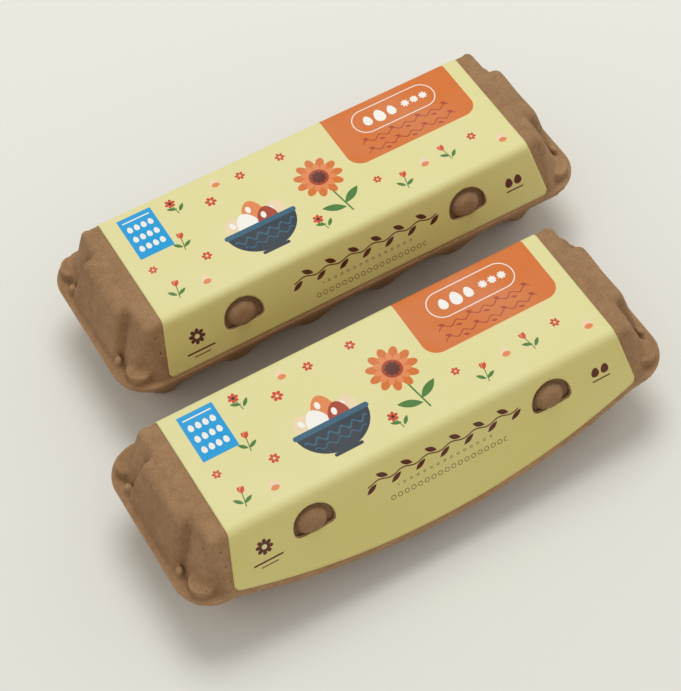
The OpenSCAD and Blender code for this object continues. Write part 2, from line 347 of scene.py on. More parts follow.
def tray_wall(x, y, z):
    """The drafted wall round all twelve cups, which runs in from the rim to the feet."""
    above = WALL_DRAFT * (RIM_Z + 1.0 - np.maximum(z, WALL_BEND_Z))
    low = np.clip(z / WALL_BEND_Z, 0.0, 1.0)
    plan_x = np.abs(x) - (WALL_X - above - WALL_RUN_X * (1.0 - low ** WALL_POWER))
    plan_y = np.abs(y) - (WALL_Y - above - WALL_RUN_Y * (1.0 - low ** WALL_POWER))
    lean_x = np.where(z > WALL_BEND_Z, WALL_DRAFT, WALL_LEAN_X * low ** 0.4)
    lean_y = np.where(z > WALL_BEND_Z, WALL_DRAFT, WALL_LEAN_Y * low ** 0.4)
    out_x = np.maximum(plan_x, 0.0)
    out_y = np.maximum(plan_y, 0.0)
    corner = np.hypot(out_x, out_y)
    lean = (out_x * lean_x + out_y * lean_y) / np.maximum(corner, 0.01)
    lean = np.where(corner > 0.01, lean, lean_y)
    return round_plan(plan_x, plan_y, WALL_CORNER) / np.sqrt(1.0 + lean ** 2)


def tray_field(x, y, z, dip):
    """The tray, whose cups open into one trough above their saddles."""
    wall = tray_wall(x, y, z)
    in_ends = np.abs(x) - SADDLE_X - (z - SADDLE_Z) * 0.6
    in_sides = np.abs(y) - SADDLE_Y - (z - SADDLE_Z) * 0.6
    trough = round_max(round_max(in_sides, in_ends, 8.0), SADDLE_Z - PULP - z, 3.0)
    cups = smooth_min(cup_form(x, y, z), trough, 3.0)
    form = smooth_max(wall, cups, 3.0)
    form = np.maximum(form, -z) + SHRINK
    form = smooth_max(form, -post_hollow(x, y, z), 3.0)
    rim = RIM_Z - front_drop(x, y, dip)
    plan = rim_plan(x, y, RIM_INSET, dip) + wave(y, x, z, 0.2)
    flange = np.maximum(plan, rim - FLANGE_T - z)
    outer = smooth_min(form, flange, 1.2)
    thick = PULP + TRAY_EXTRA + END_THICK * smooth_step(116.0, 124.0, np.abs(x))
    solid = smooth_max(outer, -(form + thick), 0.5)
    posts = (np.abs(x) < POST_AREA[0]) & (np.abs(y) < POST_AREA[1])
    return smooth_max(solid, np.where(posts, z - POST_TOP - 3.0, z - rim), 0.4)


def button_form(x, y, z):
    """A domed button that stands in its hole and laps over the hole's flat edge."""
    parts = []
    for side in (-1, 1):
        u, v, w = front_plane(side, x, y, z)
        disc = (np.hypot((u + 0.5) / BUTTON_RX, (v - 1.6) / BUTTON_RY) - 1.0) * 8.6 + torn(u, v, 0.06)
        dome = round_max(disc, w - BUTTON_H, 6.5)
        parts.append(np.maximum(dome, -3.3 - v))
        parts.append(smooth_max(dome, 0.45 - w, 0.4))
    return np.minimum.reduce(parts)


def flap_field(x, y, z, dip):
    """The lock flap, a sheet behind the lid's front with its two buttons."""
    _, v, w = front_plane(0, x, y, z)
    form = smooth_min(w + FLAP_DEPTH, button_form(x, y, z), 0.8)
    solid = smooth_max(form, -(form + PULP), 0.4)
    top = (FLAP_TOP - HOLE_Z) * LEAN_LEN
    solid = np.maximum(solid, round_max(np.abs(x) - FLAP_HALF + 0.1, v - top + 0.1, FLAP_CORNER))
    solid = np.maximum(solid, -12.0 - w)
    return smooth_max(solid, RIM_Z + 0.05 - front_drop(x, y, dip) - z, 0.3)


# Meshing

def surface_net(field, low, high, step):
    """Points and quads on the zero level of a field, one point in each crossed cell."""
    counts = [int(math.ceil((b - a) / step)) + 1 for a, b in zip(low, high)]
    axes = [a + step * np.arange(n) for a, n in zip(low, counts)]
    grid = np.meshgrid(*axes, indexing="ij")
    value = field(*[g.ravel() for g in grid]).reshape(counts)
    cells = tuple(n - 1 for n in counts)
    total = np.zeros((int(np.prod(cells)), 3))
    hits = np.zeros(len(total))
    rings = []
    for axis in range(3):
        ahead = [slice(None)] * 3
        behind = [slice(None)] * 3
        ahead[axis] = slice(1, None)
        behind[axis] = slice(None, -1)
        a = value[tuple(behind)]
        b = value[tuple(ahead)]
        place = np.argwhere((a < 0) != (b < 0))
        first = a[tuple(place.T)]
        second = b[tuple(place.T)]
        point = np.array(low) + step * place
        point[:, axis] += step * first / (first - second)
        one, two = [i for i in range(3) if i != axis]
        ring = []
        for off_one, off_two in ((0, 0), (-1, 0), (-1, -1), (0, -1)):
            cell = place.copy()
            cell[:, one] += off_one
            cell[:, two] += off_two
            index = np.ravel_multi_index(tuple(cell.T), cells)
            np.add.at(total, index, point)
            np.add.at(hits, index, 1.0)
            ring.append(index)
        ring = np.stack(ring, axis=1)
        turn = (first < 0) != (axis == 1)
        ring[~turn] = ring[~turn][:, ::-1]
        rings.append(ring)
    used = np.nonzero(hits)[0]
    number = np.full(len(hits), -1)
    number[used] = np.arange(len(used))
    points = total[used] / hits[used, None]
    return points, number[np.concatenate(rings)]


def gradient(field, points, reach=0.05):
    """The field's value and slope at each point."""
    base = field(*points.T)
    slope = np.empty_like(points)
    for axis in range(3):
        moved = points.copy()
        moved[:, axis] += reach
        slope[:, axis] = (field(*moved.T) - base) / reach
    return base, slope


def settle(field, points, step):
    """Moves the points onto the field's zero level, each by less than half a cell."""
    start = points.copy()
    for _ in range(4):
        base, slope = gradient(field, points)
        size = np.maximum((slope ** 2).sum(axis=1), 0.2)
        points = points - (base / size)[:, None] * slope
        points = start + np.clip(points - start, -0.5 * step, 0.5 * step)
    return points


def edge_curve(points, faces):
    """How convex the surface is at each point, above zero on edges and below in valleys."""
    ends = np.concatenate([faces[:, [i, (i + 1) % 4]] for i in range(4)])
    one_way = points[faces[:, 2]] - points[faces[:, 0]]
    other_way = points[faces[:, 3]] - points[faces[:, 1]]
    normal = np.cross(one_way, other_way)
    total = np.zeros_like(points)
    for i in range(4):
        np.add.at(total, faces[:, i], normal)
    total /= np.maximum(np.linalg.norm(total, axis=1), 1e-9)[:, None]
    count = np.zeros(len(points))
    np.add.at(count, ends[:, 0], 1.0)
    middle = np.zeros_like(points)
    np.add.at(middle, ends[:, 0], points[ends[:, 1]])
    middle /= np.maximum(count, 1.0)[:, None]
    bend = ((points - middle) * total).sum(axis=1)
    for _ in range(3):
        spread = np.zeros(len(points))
        np.add.at(spread, ends[:, 0], bend[ends[:, 1]])
        bend = 0.4 * bend + 0.6 * spread / np.maximum(count, 1.0)
    return bend


def add_mesh(name, points, faces, middle):
    """A smooth mesh from points in carton millimetres; middle is the carton's place."""
    mesh = bpy.data.meshes.new(name)
    placed = (points + np.array(middle)) * MM
    mesh.from_pydata(placed.tolist(), [], faces)
    mesh.shade_smooth()
    piece = bpy.data.objects.new(name, mesh)
    bpy.context.scene.collection.objects.link(piece)
    return piece


def pulp_piece(name, field, low, high, step, middle, material):
    """Meshes a field between two corners; "edge" tells the material where it is convex."""
    points, faces = surface_net(field, low, high, step)
    points = settle(field, points, step)
    piece = add_mesh(name, points, faces.tolist(), middle)
    piece.data.validate()
    curve = piece.data.attributes.new("edge", "FLOAT", "POINT")
    curve.data.foreach_set("value", edge_curve(points, faces).astype(np.float32))
    piece.data.materials.append(material)
    return piece


# Label

# The label's top is printed in stretches that end at these places, and its front by itself,
# because one material with all the print would be too large for Cycles
STRETCH_ENDS = (-66.0, -15.0, 25.0)
FRONT_RUN = 43.5

# Painted shade: the paper's yellow turns deeper over this run, across the front fold, so that the front
# looks shaded
FRONT_SHADE_RUN = (35.0, 46.0)


def stretch_of(x, run):
    """Number of the stretch of print that a place on the flat label lies in."""
    if run > FRONT_RUN:
        return len(STRETCH_ENDS) + 1
    return sum(x > end for end in STRETCH_ENDS)


def section_point(run):
    """Point and outward normal of the lid's section at a distance run from the top's middle."""
    flat = np.abs(run)
    turn = np.clip((flat - FOLD_Y) / FOLD_R, 0.0, FOLD_ANGLE)
    down = np.maximum(flat - FOLD_Y - FOLD_R * FOLD_ANGLE, 0.0)
    n_y = np.sin(turn)
    n_z = np.cos(turn)
    y = np.minimum(flat, FOLD_Y) + FOLD_R * n_y + down * LEAN_K / LEAN_LEN
    z = TOP_Z - FOLD_R + FOLD_R * n_z - down / LEAN_LEN
    front = -np.sign(run)
    return y * front, z, n_y * front, n_z


def run_at(z):
    """Distance from the top's middle to height z on a side."""
    fold_foot = TOP_Z - FOLD_R + FOLD_R * math.cos(FOLD_ANGLE)
    return FOLD_Y + FOLD_R * FOLD_ANGLE + (fold_foot - z) * LEAN_LEN


def clip_faces(points, faces, value):
    """Keeps the part of each face where value is above zero, with new points along the cut."""
    points = [tuple(p) for p in points]
    value = list(value)
    made = {}
    kept = []
    for face in faces:
        corner = [value[i] for i in face]
        if min(corner) >= 0:
            kept.append(tuple(face))
            continue
        if max(corner) <= 0:
            continue
        loop = []
        for i, here in enumerate(face):
            after = face[(i + 1) % len(face)]
            if value[here] >= 0:
                loop.append(here)
            if (value[here] >= 0) != (value[after] >= 0):
                key = (min(here, after), max(here, after))
                if key not in made:
                    t = value[key[0]] / (value[key[0]] - value[key[1]])
                    first = np.array(points[key[0]])
                    second = np.array(points[key[1]])
                    points.append(tuple(first + t * (second - first)))
                    value.append(0.0)
                    made[key] = len(points) - 1
                loop.append(made[key])
        if len(loop) >= 3:
            kept.append(tuple(loop))
    used = sorted({i for face in kept for i in face})
    number = {old: new for new, old in enumerate(used)}
    return np.array([points[i] for i in used]), [tuple(number[i] for i in face) for face in kept]


def label_sheet(dip):
    """The label laid flat: x, and the distance run from the top's middle, front positive.

    The columns crowd towards the sheet's side edges, where its corners are round.
    """
    columns = 200
    rows = 110
    spread = np.linspace(-1.0, 1.0, columns + 1)
    spread = spread + 0.06 * np.sin(math.pi * spread) * np.abs(spread)
    spread /= np.abs(spread).max()
    down = np.linspace(0.0, 1.0, rows + 1)
    back = -run_at(TOP_Z - LABEL_BACK)
    top_run = run_at(TOP_Z - 3.0)
    foot_run = run_at(LABEL_FOOT_Z)
    grow = (LABEL_FOOT_HALF - LABEL_HALF) / (foot_run - top_run)
    points = []
    for t in down:
        for s in spread:
            x = s * LABEL_HALF
            for _ in range(3):
                low = foot_run + arc_drop(np.array(x), dip) * LEAN_LEN
                half = LABEL_HALF + grow * max(back + t * (low - back) - top_run, 0.0)
                x = s * half
            edge = half - abs(x)
            if edge < LABEL_CORNER:
                low -= LABEL_CORNER - math.sqrt(max(LABEL_CORNER ** 2 - (LABEL_CORNER - edge) ** 2, 0.0))
            points.append((x, back + t * (float(low) - back)))
    wide = columns + 1
    faces = [
        (r * wide + c, r * wide + c + 1, (r + 1) * wide + c + 1, (r + 1) * wide + c)
        for r in range(rows)
        for c in range(columns)
    ]
    return np.array(points), faces


def label_piece(name, dip, middle, materials):
    """A closed paper sheet that follows the lid, with an opening round each button.

    Each stretch of the sheet has the material that prints its own motifs.
    """
    flat, faces = label_sheet(dip)
    for side in (-1, 1):
        u = flat[:, 0] - side * HOLE_X
        v = run_at(HOLE_Z) - flat[:, 1]
        flat, faces = clip_faces(flat, faces, hole_plan(u, v, -0.5))
    y, z, n_y, n_z = section_point(flat[:, 1])
    x = flat[:, 0]
    sheets = [
        np.stack([x, y + n_y * lift, z + n_z * lift], axis=1)
        for lift in (GLUE + PAPER, GLUE)
    ]
    points = np.concatenate(sheets)
    count = len(flat)
    solid = [tuple(reversed(face)) for face in faces]
    solid += [tuple(i + count for i in face) for face in faces]
    stretch = [stretch_of(*flat[list(face)].mean(axis=0)) for face in faces]
    stretch += stretch
    edges = {}
    for face in faces:
        for i, here in enumerate(face):
            edges[(here, face[(i + 1) % len(face)])] = True
    for here, after in edges:
        if (after, here) not in edges:
            solid.append((here, after, after + count, here + count))
            stretch.append(stretch_of(*flat[here]))
    piece = add_mesh(name, points, solid, middle)
    mesh = piece.data
    for material in materials:
        mesh.materials.append(material)
    mesh.polygons.foreach_set("material_index", stretch)
    uv = mesh.uv_layers.new(name="print")
    corner = np.zeros(len(mesh.loops), dtype=np.int32)
    mesh.loops.foreach_get("vertex_index", corner)
    uv.data.foreach_set("uv", np.tile(flat, (2, 1))[corner].ravel())
    return piece


# Materials

class Graph:
    """Adds nodes to a material; each method returns an output socket."""

    def __init__(self, name):
        self.material = bpy.data.materials.new(name)
        self.material.use_nodes = True
        self.tree = self.material.node_tree
        self.tree.nodes.clear()
        self.shader = self.tree.nodes.new("ShaderNodeBsdfPrincipled")
        out = self.tree.nodes.new("ShaderNodeOutputMaterial")
        self.tree.links.new(self.shader.outputs["BSDF"], out.inputs["Surface"])

    def feed(self, socket, value):
        if isinstance(value, bpy.types.NodeSocket):
            self.tree.links.new(value, socket)
        else:
            socket.default_value = value

    def math(self, operation, *values):
        node = self.tree.nodes.new("ShaderNodeMath")
        node.operation = operation
        for socket, value in zip(node.inputs, values):
            self.feed(socket, value)
        return node.outputs[0]

    def mix(self, factor, first, second):
        node = self.tree.nodes.new("ShaderNodeMix")
        node.data_type = "RGBA"
        self.feed(node.inputs["Factor"], factor)
        self.feed(node.inputs["A"], first)
        self.feed(node.inputs["B"], second)
        return node.outputs["Result"]

    def place(self, vector, middle, scale=(1.0, 1.0, 1.0), turn=0.0):
        """Coordinates about middle, in units of scale."""
        node = self.tree.nodes.new("ShaderNodeMapping")
        node.vector_type = "TEXTURE"
        self.feed(node.inputs["Vector"], vector)
        node.inputs["Location"].default_value = (middle[0], middle[1], 0.0)
        node.inputs["Rotation"].default_value = (0.0, 0.0, math.radians(turn))
        node.inputs["Scale"].default_value = scale
        return node.outputs["Vector"]

    def split(self, vector):
        node = self.tree.nodes.new("ShaderNodeSeparateXYZ")
        self.feed(node.inputs[0], vector)
        return node.outputs["X"], node.outputs["Y"]

    def hypot(self, x, y):
        square = self.math("MULTIPLY_ADD", x, x, self.math("MULTIPLY", y, y))
        return self.math("SQRT", square)

    def fraction(self, vector):
        """The vector's digits after the point, so that what uses it repeats."""
        node = self.tree.nodes.new("ShaderNodeVectorMath")
        node.operation = "FRACTION"
        self.feed(node.inputs[0], vector)
        return node.outputs["Vector"]

    def length(self, vector):
        node = self.tree.nodes.new("ShaderNodeVectorMath")
        node.operation = "LENGTH"
        self.feed(node.inputs[0], vector)
        return node.outputs["Value"]

    def noise(self, vector, scale, detail, rough=0.5, distort=0.0):
        node = self.tree.nodes.new("ShaderNodeTexNoise")
        self.feed(node.inputs["Vector"], vector)
        node.inputs["Scale"].default_value = scale
        node.inputs["Detail"].default_value = detail
        node.inputs["Roughness"].default_value = rough
        node.inputs["Distortion"].default_value = distort
        return node.outputs[0]

    def band(self, value, low, high):
        """0 below low, 1 above high, smooth between."""
        node = self.tree.nodes.new("ShaderNodeMapRange")
        node.interpolation_type = "SMOOTHSTEP"
        self.feed(node.inputs["Value"], value)
        node.inputs["From Min"].default_value = low
        node.inputs["From Max"].default_value = high
        return node.outputs["Result"]

    def bump(self, height, distance, strength, before=None):
        node = self.tree.nodes.new("ShaderNodeBump")
        self.feed(node.inputs["Height"], height)
        node.inputs["Distance"].default_value = distance
        node.inputs["Strength"].default_value = strength
        if before is not None:
            self.feed(node.inputs["Normal"], before)
        return node.outputs["Normal"]

    def object_space(self):
        node = self.tree.nodes.new("ShaderNodeTexCoord")
        return node.outputs["Object"]


def linear(red, green, blue):
    """A colour given as it shows on a screen, 0 to 255."""
    def one(value):
        value /= 255.0
        return value / 12.92 if value <= 0.04045 else ((value + 0.055) / 1.055) ** 2.4
    return (one(red), one(green), one(blue), 1.0)


# Light and dark tone of the pulp, and the tone of its dark specks, also used for painted shade in
# valleys, linear; the lock flaps are a little darker
PULP_TONES = ((0.41, 0.243, 0.124, 1.0), (0.265, 0.148, 0.069, 1.0), (0.09, 0.045, 0.022, 1.0))
BUTTON_TONES = ((0.38, 0.222, 0.115, 1.0), (0.25, 0.139, 0.066, 1.0), (0.08, 0.04, 0.02, 1.0))


def times(colour, factor):
    return tuple(part * factor for part in colour[:3]) + (1.0,)


def pulp_material(name, light, dark, speck_and_shade):
    """Moulded brown pulp: mottled, with fine grain, fibres and a few dark specks, and with painted
    highlight on convex edges and painted shade in valleys.
    """
    g = Graph(name)
    space = g.object_space()
    broad = g.noise(space, 22.0, 3.0)
    mottle = g.noise(space, 160.0, 4.0, 0.6)
    grain = g.noise(space, 900.0, 3.0, 0.6)
    amount = g.math("MULTIPLY_ADD", broad, 0.5, g.math("MULTIPLY", mottle, 0.6))
    amount = g.math("MULTIPLY_ADD", grain, 0.7, amount)
    colour = g.mix(g.band(amount, 0.55, 1.25), dark, light)
    fibre = g.noise(space, 330.0, 2.0, 0.5, 1.6)
    fibre = g.math("ABSOLUTE", g.math("SUBTRACT", fibre, 0.5))
    fibre = g.math("MULTIPLY", g.band(fibre, 0.016, 0.004), 0.28)
    colour = g.mix(fibre, colour, times(light, 1.5))
    cell = g.tree.nodes.new("ShaderNodeTexVoronoi")
    g.feed(cell.inputs["Vector"], space)
    cell.inputs["Scale"].default_value = 150.0
    chosen = g.math("GREATER_THAN", g.split(cell.outputs["Color"])[0], 0.9)
    speck = g.math("MULTIPLY", g.band(cell.outputs["Distance"], 0.1, 0.05), chosen)
    colour = g.mix(g.math("MULTIPLY", speck, 0.75), colour, speck_and_shade)
    edge = g.tree.nodes.new("ShaderNodeAttribute")
    edge.attribute_name = "edge"
    # Painted highlight: convex edges are lightened, as if they catch the light
    painted_edge_highlight = g.math("MULTIPLY", g.band(edge.outputs["Fac"], 0.06, 0.22), 0.35)
    colour = g.mix(painted_edge_highlight, colour, times(light, 1.35))
    # Painted shade: valleys are darkened towards the dark speck tone, where shade falls
    valley = g.math("MULTIPLY", g.band(edge.outputs["Fac"], -0.04, -0.2), 0.45)
    colour = g.mix(valley, colour, speck_and_shade)
    g.feed(g.shader.inputs["Base Color"], colour)
    g.shader.inputs["Roughness"].default_value = 0.93
    g.shader.inputs["Specular IOR Level"].default_value = 0.25
    coarse = g.bump(g.noise(space, 240.0, 4.0, 0.6), 0.0006, 0.55)
    fine = g.bump(grain, 0.0003, 0.6, coarse)
    pits = g.bump(g.math("SUBTRACT", 1.0, speck), 0.0005, 0.7, fine)
    g.feed(g.shader.inputs["Normal"], pits)
    return g.material


class Press(Graph):
    """Prints flat shapes on paper, one over the other; soft is how wide an edge fades, in mm."""

    soft = 0.22

    def __init__(self, name, base):
        super().__init__(name)
        node = self.tree.nodes.new("ShaderNodeUVMap")
        node.uv_map = "print"
        self.sheet = node.outputs["UV"]
        down = self.split(self.sheet)[1]
        # The deeper yellow on the front is painted shade, not a colour of the paper
        self.colour = self.mix(self.band(down, *FRONT_SHADE_RUN), base, SHADED_YELLOW)

    def ink(self, mask, colour):
        self.colour = self.mix(mask, self.colour, colour)

    def mask(self, inside, unit):
        """A distance in units of unit millimetres, above zero inside, as a mask.

        The mask runs past 0 and 1, and the colour mix cuts it there. A clamp here
        would make the shader too large for Cycles.
        """
        return self.math("MULTIPLY_ADD", inside, unit / self.soft, 0.5)

    def both(self, first, second):
        return self.math("MINIMUM", first, second)

    def without(self, first, second):
        return self.both(first, self.math("SUBTRACT", 1.0, second))

    def oval(self, middle, rx, ry, turn=0.0):
        space = self.place(self.sheet, middle, (rx, ry, 1.0), turn)
        inside = self.math("SUBTRACT", 1.0, self.length(space))
        return self.mask(inside, min(rx, ry))

    def egg(self, middle, rx, ry, turn=0.0):
        """An oval whose upper end is narrower."""
        space = self.place(self.sheet, middle, (rx, ry, 1.0), turn)
        x, y = self.split(space)
        wide = self.math("MULTIPLY_ADD", y, 0.22, 1.0)
        size = self.hypot(self.math("DIVIDE", x, wide), y)
        return self.mask(self.math("SUBTRACT", 1.0, size), min(rx, ry))

    def panel(self, middle, hx, hy, corner):
        """A rectangle with round corners."""
        x, y = self.split(self.place(self.sheet, middle))
        x = self.math("SUBTRACT", self.math("ABSOLUTE", x), hx - corner)
        y = self.math("SUBTRACT", self.math("ABSOLUTE", y), hy - corner)
        out_x = self.math("MAXIMUM", x, 0.0)
        out_y = self.math("MAXIMUM", y, 0.0)
        inside = self.math("SUBTRACT", corner, self.hypot(out_x, out_y))
        return self.mask(inside, 1.0)

    def leaf(self, middle, long, wide, turn):
        """A pointed leaf that turns about its middle; long and wide are half its size."""
        x, y = self.split(self.place(self.sheet, middle, (long, long, 1.0), turn))
        bulge = self.math("MULTIPLY_ADD", self.math("MULTIPLY", x, x), -wide / long, wide / long)
        return self.mask(self.math("SUBTRACT", bulge, self.math("ABSOLUTE", y)), long)

    def stroke(self, start, end, width):
        """A straight line with square ends."""
        middle = ((start[0] + end[0]) / 2, (start[1] + end[1]) / 2)
        long = math.hypot(end[0] - start[0], end[1] - start[1]) / 2
        turn = math.degrees(math.atan2(end[1] - start[1], end[0] - start[0]))
        x, y = self.split(self.place(self.sheet, middle, turn=turn))
        ends = self.math("SUBTRACT", long, self.math("ABSOLUTE", x))
        sides = self.math("SUBTRACT", width / 2, self.math("ABSOLUTE", y))
        return self.mask(self.math("MINIMUM", ends, sides), 1.0)

    def daisy(self, middle, radius, petals, turn=0.0, waist=0.42):
        """A flower's outline; waist is the share of the radius between two petals."""
        x, y = self.split(self.place(self.sheet, middle, (radius, radius, 1.0), turn))
        angle = self.math("MULTIPLY", self.math("ARCTAN2", y, x), petals / 2)
        lobe = self.math("POWER", self.math("ABSOLUTE", self.math("COSINE", angle)), 0.55)
        edge = self.math("MULTIPLY_ADD", lobe, 1.0 - waist, waist)
        return self.mask(self.math("SUBTRACT", edge, self.hypot(x, y)), radius)


YELLOW = linear(228, 221, 158)
# The label's yellow darkened as painted shade, for its front
SHADED_YELLOW = linear(221, 207, 128)
BLUE = linear(0, 158, 219)
ORANGE = linear(216, 116, 46)
BROWN = linear(92, 33, 10)
NAVY = linear(20, 42, 58)
TEAL = linear(36, 92, 118)
RED = linear(207, 74, 40)
GREEN = linear(76, 126, 52)
CREAM = linear(240, 216, 178)
PEACH = linear(230, 138, 82)
WHITE = linear(246, 244, 236)
RUST = linear(168, 62, 26)


def sprig(p, x, t, lean, bloom):
    """A stem with two leaves and a small flower; lean is in degrees."""
    across = math.sin(math.radians(lean))
    along = math.cos(math.radians(lean))
    top = (x + 9.0 * across, t - 9.0 * along)
    p.ink(p.stroke((x, t), top, 0.55), GREEN)
    p.ink(p.leaf((x + 2.9, t - 3.6), 3.1, 1.1, -38 + lean), GREEN)
    p.ink(p.leaf((x - 2.4, t - 4.6), 3.1, 1.1, 215 + lean), GREEN)
    if bloom == "daisy":
        p.ink(p.daisy(top, 3.2, 6, lean), RED)
        p.ink(p.oval(top, 0.9, 0.9), NAVY)
    else:
        for turn in (-24, 0, 24):
            spread = math.radians(turn + lean)
            tip = (top[0] + 1.6 * math.sin(spread), top[1] - 1.6 * math.cos(spread))
            p.ink(p.leaf(tip, 2.5, 1.1, 90 + turn + lean), RED if turn else PEACH)


def print_blue_card(p):
    """A blue card with a dozen white eggs in three rows, below a white line."""
    x0, t0 = -97.9, -19.4
    pitch_x, pitch_t = 4.3, 7.6
    egg_r = 1.55
    p.ink(p.panel((x0, t0), 10.6, 15.6, 0.4), BLUE)
    space = p.place(p.sheet, (x0 - 2.0 * pitch_x, t0 - 10.2), (pitch_x, pitch_t, 1.0))
    local = p.place(p.fraction(space), (0.5, 0.5), (1.0 / pitch_x, 1.0 / pitch_t, 1.0))
    x, y = p.split(local)
    x = p.math("DIVIDE", x, p.math("MULTIPLY_ADD", y, 0.07, 1.0))
    size = p.math("MULTIPLY_ADD", x, x, p.math("MULTIPLY", p.math("MULTIPLY", y, y), 0.5))
    eggs = p.mask(p.math("SUBTRACT", egg_r, p.math("SQRT", size)), 1.0)
    window = p.panel((x0, t0 + 1.2), 2.0 * pitch_x, 1.5 * pitch_t, 0.1)
    p.ink(p.both(eggs, window), WHITE)
    p.ink(p.stroke((x0 - 8.4, t0 - 12.2), (x0 + 8.4, t0 - 12.2), 0.8), WHITE)


def print_orange_card(p):
    """An orange card that runs over the back fold, with a pale badge and brown waves."""
    x0 = 67.2
    badge_t = -25.0
    p.ink(p.panel((x0, -29.0), 41.8, 31.0, 9.0), ORANGE)
    rim = p.panel((x0, badge_t), 27.0, 9.0, 8.8)
    well = p.panel((x0, badge_t), 26.4, 8.4, 8.2)
    p.ink(p.without(rim, well), WHITE)
    for i, size in enumerate((3.6, 4.6, 3.6)):
        p.ink(p.egg((49.6 + 8.0 * i, -24.8), size * 0.72, size), WHITE)
    for i in range(3):
        p.ink(p.daisy((75.0 + 6.0 * i, badge_t), 2.6, 8, 10.0 * i), WHITE)
    x, t = p.split(p.sheet)
    for level in (-11.2, -3.6):
        curve = p.math("MULTIPLY", p.math("SINE", p.math("MULTIPLY", x, 0.72)), 1.2)
        away = p.math("ABSOLUTE", p.math("SUBTRACT", p.math("SUBTRACT", t, level), curve))
        line = p.mask(p.math("SUBTRACT", 0.42, away), 1.0)
        p.ink(p.both(line, p.panel((x0, level), 29.0, 3.0, 0.1)), RUST)
        for i in range(7):
            side = 2.3 if i % 2 else -2.3
            p.ink(p.leaf((41.4 + 8.73 * i, level + side), 1.9, 0.75, 20), RUST)


def print_bowl(p):
    """A navy bowl heaped with eggs, about the middle of its rim."""
    x0, t0 = -40.0, 8.0
    eggs = (
        (-12.5, -3.5, 6.2, 7.6, -18, CREAM), (12.0, -3.5, 6.2, 7.6, 20, CREAM),
        (0.5, -9.5, 6.2, 7.8, 6, PEACH), (-5.8, -3.0, 6.2, 7.6, -4, WHITE),
        (6.4, -2.0, 6.0, 7.4, 9, RUST),
    )
    for dx, dt, rx, ry, turn, colour in eggs:
        p.ink(p.egg((x0 + dx, t0 + dt), rx, ry, turn), colour)
        p.ink(p.oval((x0 + dx - 1.6, t0 + dt - 2.0), 1.5, 2.4, turn), WHITE)
    x, t = p.split(p.sheet)
    below = p.mask(p.math("SUBTRACT", t, t0), 1.0)
    p.ink(p.both(below, p.oval((x0, t0), 21.5, 20.0)), NAVY)
    weave = p.math("SINE", p.math("MULTIPLY", x, 0.9))
    for level, swing, half in ((15.5, 1.6, 0.7), (20.5, -1.2, 0.45)):
        away = p.math("SUBTRACT", p.math("SUBTRACT", t, level), p.math("MULTIPLY", weave, swing))
        line = p.mask(p.math("SUBTRACT", half, p.math("ABSOLUTE", away)), 1.0)
        p.ink(p.both(line, p.oval((x0, t0), 20.0, 18.8)), TEAL)
    p.ink(p.panel((x0, t0 + 1.0), 22.5, 1.7, 1.6), TEAL)
    p.ink(p.panel((x0, t0 + 20.2), 8.5, 1.1, 1.0), NAVY)


def print_bloom(p):
    """A large orange flower on a leafy stem."""
    x0, t0 = 4.5, -3.0
    p.ink(p.stroke((x0 + 1.0, t0 + 6.0), (x0 + 5.0, t0 + 31.0), 1.0), GREEN)
    p.ink(p.leaf((x0 + 9.6, t0 + 20.5), 7.0, 2.4, -32), GREEN)
    p.ink(p.leaf((x0 - 3.4, t0 + 24.0), 7.0, 2.4, 24), GREEN)
    p.ink(p.daisy((x0, t0), 14.5, 11, 8, 0.5), ORANGE)
    p.ink(p.daisy((x0, t0), 10.4, 11, 8 + 16.4, 0.5), PEACH)
    p.ink(p.oval((x0, t0), 5.8, 5.8), RUST)
    p.ink(p.daisy((x0, t0), 4.4, 9, 0, 0.7), BROWN)


def print_front(p):
    """A dark brown garland between the buttons, with thin rows below it."""
    start, pitch, count = -38.0, 7.4, 13
    level = 53.6
    x, t = p.split(p.sheet)
    curve = p.math("MULTIPLY", p.math("SINE", p.math("MULTIPLY", x, math.pi / pitch)), 0.9)
    away = p.math("ABSOLUTE", p.math("SUBTRACT", p.math("SUBTRACT", t, level), curve))
    stem = p.mask(p.math("SUBTRACT", 0.42, away), 1.0)
    reach = pitch * (count - 1) / 2
    p.ink(p.both(stem, p.panel((start + reach, level), reach + 2.0, 6.0, 0.1)), BROWN)
    for i in range(count):
        up = 1 if i % 2 else -1
        p.ink(p.leaf((start + pitch * i, level - 2.9 * up), 3.9, 1.5, 32 * up), BROWN)
    ring_pitch = 4.1
    space = p.place(p.sheet, (start, 0.0), (ring_pitch, 1.0, 1.0))
    along = p.math("SUBTRACT", p.split(p.fraction(space))[0], 0.5)
    along = p.math("MULTIPLY", along, ring_pitch)
    for level, half, inner, outer in ((61.6, 30.0, 0.51, 0.82), (67.8, 36.0, 1.09, 1.48)):
        away = p.hypot(along, p.math("SUBTRACT", t, level))
        bead = p.mask(p.math("SUBTRACT", outer, away), 1.0)
        hollow = p.mask(p.math("SUBTRACT", inner, away), 1.0)
        row = p.without(bead, hollow)
        p.ink(p.both(row, p.panel((6.4, level), half, 3.0, 0.1)), BROWN)


def print_ends(p):
    """A small brown sign at each end of the front."""
    p.ink(p.daisy((-102.0, 57.0), 5.0, 8, 11, 0.5), BROWN)
    p.ink(p.oval((-102.0, 57.0), 1.5, 1.5), YELLOW)
    p.ink(p.stroke((-110.6, 66.0), (-93.4, 66.0), 1.1), BROWN)
    p.ink(p.stroke((-107.0, 68.8), (-97.0, 68.8), 0.7), BROWN)
    p.ink(p.egg((101.0, 56.2), 2.4, 3.0), BROWN)
    p.ink(p.egg((107.0, 56.2), 2.4, 3.0), BROWN)
    p.ink(p.stroke((98.4, 61.6), (109.6, 61.6), 0.9), BROWN)


